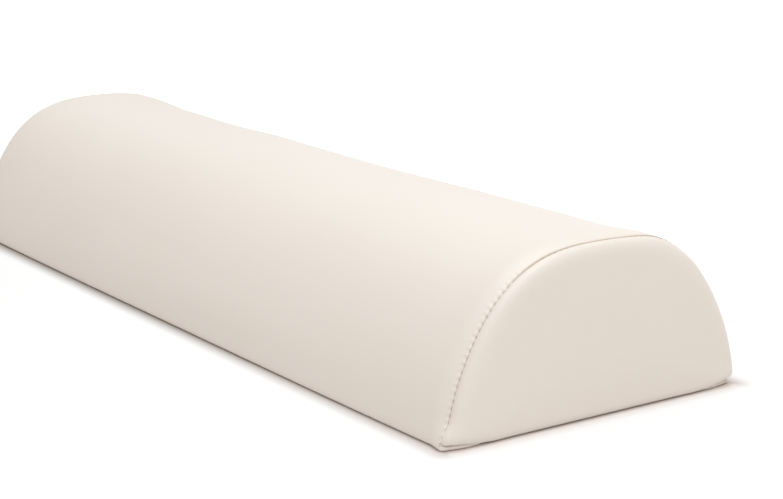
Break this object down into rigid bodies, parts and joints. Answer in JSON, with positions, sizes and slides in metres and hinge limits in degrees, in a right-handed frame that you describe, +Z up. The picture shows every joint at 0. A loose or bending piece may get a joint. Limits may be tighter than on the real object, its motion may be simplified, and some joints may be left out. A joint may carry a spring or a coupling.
{
  "type": "knee bolster",
  "caption": "Half-round foam knee bolster with a flat base, in a smooth coated cover sewn to two end panels, closed by a zip along its lower back.",
  "frame": {"origin": "middle of the flat base, on the surface it stands on", "axes": "X runs along the bolster from the left end panel to the right one, +Y points to the back with the zip, +Z is up"},
  "size_m": [0.61, 0.2035, 0.0984],
  "materials": {
    "cover": "smooth semi-matte coated fabric",
    "thread": "twisted polyester",
    "wadding": "loose fibre",
    "foam": "open-cell foam",
    "zip_tape": "woven tape",
    "zip_coil": "satin nylon",
    "zip_metal": "nickel plated"
  },
  "bodies": {
    "cover": {"wrap_panel": "cover", "left_end_panel": "cover", "right_end_panel": "cover", "left_seam_thread": "thread", "right_seam_thread": "thread", "fibre_wrap": "wadding", "left_fibre_pad": "wadding", "right_fibre_pad": "wadding", "foam_core": "foam", "zip_tape_upper": "zip_tape", "zip_tape_lower": "zip_tape", "zip_coil_upper": "zip_coil", "zip_coil_lower": "zip_coil", "zip_topstitch_upper": "thread", "zip_topstitch_lower": "thread"},
    "zip_slider": {"zip_slider_body": "zip_metal"},
    "zip_pull": {"zip_pull_tab": "zip_metal"}
  },
  "joints": [
    {"name": "zip_slide", "type": "slide", "parent": "cover", "child": "zip_slider", "axis": [1, 0, 0], "range_m": [0, 0.575]},
    {"name": "pull_swing", "type": "hinge", "parent": "zip_slider", "child": "zip_pull", "pos_m": [-0.2875, 0.09934, 0.02047], "axis": [0, -0.2461, 0.9692], "range_deg": [0, 178]}
  ]
}
